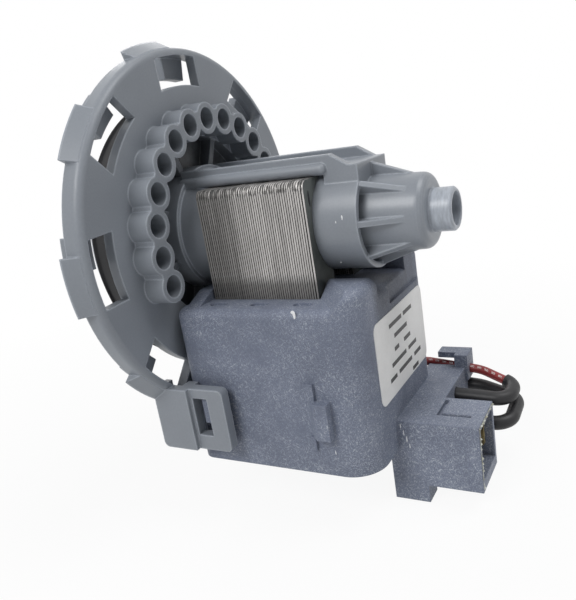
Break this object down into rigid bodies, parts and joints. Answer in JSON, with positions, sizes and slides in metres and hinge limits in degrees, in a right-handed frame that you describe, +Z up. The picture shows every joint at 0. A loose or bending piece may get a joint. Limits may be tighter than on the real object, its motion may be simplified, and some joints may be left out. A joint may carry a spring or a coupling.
{
  "type": "drain pump",
  "caption": "Washer drain pump: synchronous motor on a round bayonet flange with side latches, coil housing with plug socket, and a vaned impeller.",
  "frame": {"origin": "on the motor axis, on the motor side face of the flange disc", "axes": "+X along the motor axis to the rear boss, +Z up, away from the coil housing"},
  "size_m": [0.0785, 0.0784, 0.0968],
  "materials": {
    "light_plastic": "light grey moulded plastic, satin",
    "dark_plastic": "dark blue-grey glass-fibre filled plastic, matt",
    "black_rubber": "black rubber, satin",
    "sheet_steel": "punched electrical sheet, cut edges",
    "copper": "enamelled copper wire",
    "bobbin_plastic": "natural nylon",
    "brass": "plain brass blade",
    "red_insulation": "red lead insulation",
    "black_insulation": "black lead insulation and sleeve",
    "label_film": "bare pale label",
    "bearing": "filled bearing material",
    "shaft_steel": "ground stainless steel",
    "ferrite": "sintered ferrite",
    "rotor_plastic": "black moulded plastic",
    "impeller_plastic": "black moulded plastic",
    "protector_body": "moulded protector case"
  },
  "bodies": {
    "motor": {"mounting_flange": "light_plastic", "seal_ring": "black_rubber", "rotor_can": "light_plastic", "stator_core": "sheet_steel", "near_bobbin": "bobbin_plastic", "far_bobbin": "bobbin_plastic", "near_winding": "copper", "far_winding": "copper", "coil_housing": "dark_plastic", "base_cover": "dark_plastic", "terminal_blades": "brass", "blank_label": "label_film", "thermal_protector": "protector_body", "red_lead": "red_insulation", "lead_sleeve": "black_insulation", "black_lead": "black_insulation", "end_cover": "light_plastic", "cover_o_ring": "black_rubber", "shaft_seal": "black_rubber", "front_bush": "bearing", "front_cushion": "black_rubber", "rear_bush": "bearing", "rear_cushion": "black_rubber"},
    "rotor": {"shaft": "shaft_steel", "rotor_sleeve": "rotor_plastic", "magnet": "ferrite", "front_washer": "bearing", "rear_washer": "bearing", "drive_dog": "rotor_plastic"},
    "impeller": {"impeller": "impeller_plastic", "hub_cap": "impeller_plastic"}
  },
  "joints": [
    {"name": "rotor_spin", "type": "hinge", "parent": "motor", "child": "rotor", "pos_m": [0, 0, 0], "axis": [1, 0, 0], "continuous": true},
    {"name": "impeller_play", "type": "hinge", "parent": "rotor", "child": "impeller", "pos_m": [0, 0, 0], "axis": [1, 0, 0], "range_deg": [-85, 85]}
  ]
}
